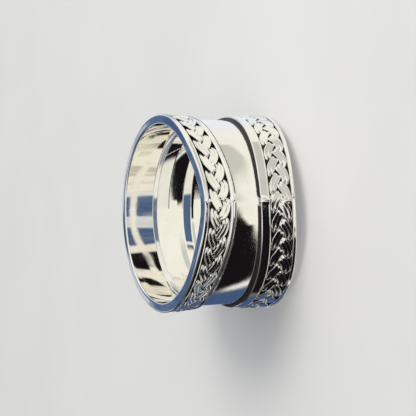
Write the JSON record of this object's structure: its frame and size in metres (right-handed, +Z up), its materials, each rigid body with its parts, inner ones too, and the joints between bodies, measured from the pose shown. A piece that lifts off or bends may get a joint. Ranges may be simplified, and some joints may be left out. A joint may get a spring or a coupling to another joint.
{
  "type": "statement ring",
  "caption": "Wide finger ring with a plain sunk middle between two raised plaited bands, each set between plain rails.",
  "frame": {"origin": "centre of the lower rim's face, on the surface the ring rests on", "axes": "+Z up, along the finger hole; X and Y lie across the ring"},
  "size_m": [0.0212, 0.0212, 0.0115],
  "materials": {
    "silver": "polished silver, blackened in the recesses of the plaits"
  },
  "bodies": {
    "root": {"ring": "silver"}
  },
  "joints": []
}
